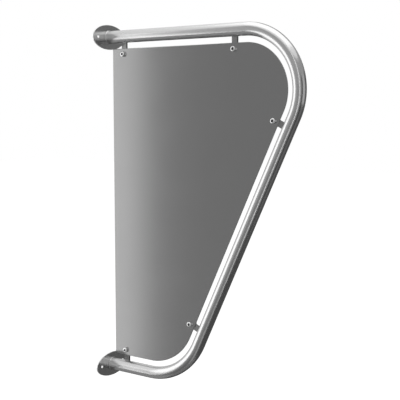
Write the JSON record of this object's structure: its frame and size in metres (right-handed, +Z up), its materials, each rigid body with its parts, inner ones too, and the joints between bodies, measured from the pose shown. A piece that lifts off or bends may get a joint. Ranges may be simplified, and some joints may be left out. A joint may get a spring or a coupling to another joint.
{
  "type": "urinal privacy screen",
  "caption": "Wall-hung urinal privacy screen: a bent tube frame on oval wall plates, with a flat steel panel screwed to lugs inside the bend.",
  "frame": {"origin": "on the wall, at the centre of the lower wall plate's back face", "axes": "+X out from the wall along the level legs, +Y square to the panel, +Z up"},
  "size_m": [0.454, 0.095, 0.724],
  "materials": {
    "tube_steel": "satin polished stainless steel tube",
    "plate_steel": "satin stainless steel plate",
    "panel_steel": "finely brushed stainless steel sheet",
    "lug_steel": "satin stainless steel flat bar",
    "fastener_steel": "bright stainless steel screws, washers and cap nuts"
  },
  "bodies": {
    "root": {"tube_frame": "tube_steel", "upper_wall_plate": "plate_steel", "lower_wall_plate": "plate_steel", "screen_panel": "panel_steel", "lug_top_rear": "lug_steel", "lug_top_front": "lug_steel", "lug_slope_upper": "lug_steel", "lug_slope_lower": "lug_steel", "lug_bottom_rear": "lug_steel", "screw_top_rear": "fastener_steel", "screw_top_front": "fastener_steel", "screw_slope_upper": "fastener_steel", "screw_slope_lower": "fastener_steel", "screw_bottom_rear": "fastener_steel", "washer_top_rear": "fastener_steel", "washer_top_front": "fastener_steel", "washer_slope_upper": "fastener_steel", "washer_slope_lower": "fastener_steel", "washer_bottom_rear": "fastener_steel", "cap_nut_top_rear": "fastener_steel", "cap_nut_top_front": "fastener_steel", "cap_nut_slope_upper": "fastener_steel", "cap_nut_slope_lower": "fastener_steel", "cap_nut_bottom_rear": "fastener_steel"}
  },
  "joints": []
}
